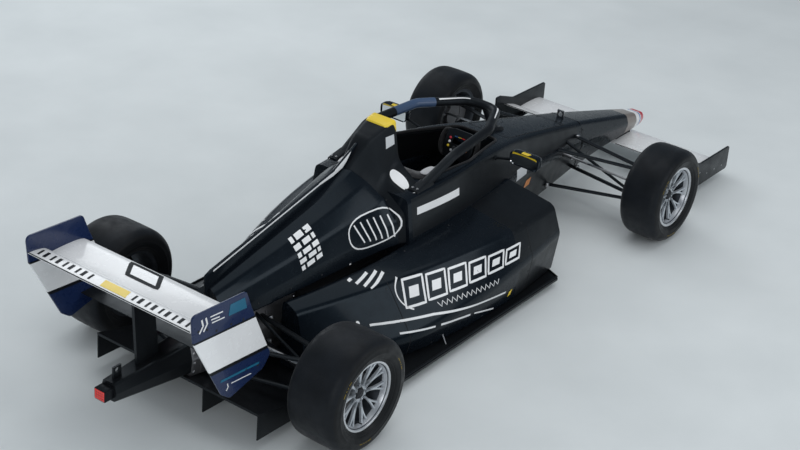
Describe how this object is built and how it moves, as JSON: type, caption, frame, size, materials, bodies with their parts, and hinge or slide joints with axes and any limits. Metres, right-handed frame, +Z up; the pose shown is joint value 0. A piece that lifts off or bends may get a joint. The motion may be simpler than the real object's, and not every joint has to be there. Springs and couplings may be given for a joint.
{
  "type": "open wheel racing car",
  "caption": "Single-seat racing car with uncovered slick-tyred wheels, halo over a hollow cockpit, roll hoop airbox, side pods, and wings front and rear.",
  "frame": {"origin": "on the ground at the centre of the car's box", "axes": "+X forward, +Y to the driver's left, +Z up"},
  "size_m": [4.85, 1.8, 1.05],
  "materials": {
    "black_paint": "gloss",
    "carbon": "satin",
    "white_paint": "gloss",
    "plate_paint": "gloss",
    "padding": "matte",
    "dark_metal": "satin",
    "steel": "satin",
    "red_lens": "gloss",
    "arm_black": "satin",
    "upright_metal": "satin",
    "grip": "matte",
    "tyre_rubber": "matte",
    "rim_silver": "satin"
  },
  "bodies": {
    "root": {"monocoque": "black_paint", "nose": "black_paint", "sidepod_left": "black_paint", "sidepod_right": "black_paint", "engine_cover": "black_paint", "halo": "black_paint", "mirrors": "black_paint", "floor": "carbon", "front_wing_flap": "carbon", "front_wing_endplates": "carbon", "front_wing_pylons": "carbon", "beam_wing": "carbon", "rear_wing_pillar": "carbon", "crash_structure": "carbon", "diffuser": "carbon", "front_wing_main": "white_paint", "rear_wing_main": "white_paint", "rear_wing_flap": "white_paint", "rear_wing_endplates": "plate_paint", "seat": "padding", "headrest": "padding", "engine": "dark_metal", "gearbox": "dark_metal", "exhaust_pipe": "steel", "rain_light": "red_lens", "front_upper_wishbones": "arm_black", "front_lower_wishbones": "arm_black", "front_pushrods": "arm_black", "rear_upper_wishbones": "arm_black", "rear_lower_wishbones": "arm_black", "rear_pushrods": "arm_black", "rear_uprights": "upright_metal", "driveshafts": "upright_metal"},
    "steer_left": {"front_upright_left": "upright_metal"},
    "steer_right": {"front_upright_right": "upright_metal"},
    "rack": {"steering_rack": "upright_metal"},
    "hand_wheel": {"steering_wheel": "grip"},
    "wheel_front_left": {"tyre_front_left": "tyre_rubber", "rim_front_left": "rim_silver"},
    "wheel_front_right": {"tyre_front_right": "tyre_rubber", "rim_front_right": "rim_silver"},
    "wheel_rear_left": {"tyre_rear_left": "tyre_rubber", "rim_rear_left": "rim_silver"},
    "wheel_rear_right": {"tyre_rear_right": "tyre_rubber", "rim_rear_right": "rim_silver"}
  },
  "joints": [
    {"name": "steer_left", "type": "hinge", "parent": "root", "child": "steer_left", "pos_m": [1.325, 0.728, 0.28], "axis": [0, 0, 1], "range_deg": [-18, 18]},
    {"name": "steer_right", "type": "hinge", "parent": "root", "child": "steer_right", "pos_m": [1.325, -0.728, 0.28], "axis": [0, 0, 1], "range_deg": [-18, 18]},
    {"name": "rack_slide", "type": "slide", "parent": "root", "child": "rack", "axis": [0, 1, 0], "range_m": [-0.034, 0.034]},
    {"name": "hand_wheel_turn", "type": "hinge", "parent": "root", "child": "hand_wheel", "pos_m": [0.33, 0, 0.64], "axis": [-0.9272, 0, 0.3746], "range_deg": [-235, 235]},
    {"name": "wheel_front_left_spin", "type": "hinge", "parent": "steer_left", "child": "wheel_front_left", "pos_m": [1.325, 0.728, 0.28], "axis": [0, 1, 0], "continuous": true},
    {"name": "wheel_front_right_spin", "type": "hinge", "parent": "steer_right", "child": "wheel_front_right", "pos_m": [1.325, -0.728, 0.28], "axis": [0, 1, 0], "continuous": true},
    {"name": "wheel_rear_left_spin", "type": "hinge", "parent": "root", "child": "wheel_rear_left", "pos_m": [-1.575, 0.69, 0.29], "axis": [0, 1, 0], "continuous": true},
    {"name": "wheel_rear_right_spin", "type": "hinge", "parent": "root", "child": "wheel_rear_right", "pos_m": [-1.575, -0.69, 0.29], "axis": [0, 1, 0], "continuous": true}
  ],
  "couplings": [
    {"joint": "steer_right", "follows": "steer_left", "ratio": 1},
    {"joint": "rack_slide", "follows": "steer_left", "m_per_rad": -0.10328},
    {"joint": "hand_wheel_turn", "follows": "steer_left", "ratio": 13}
  ]
}
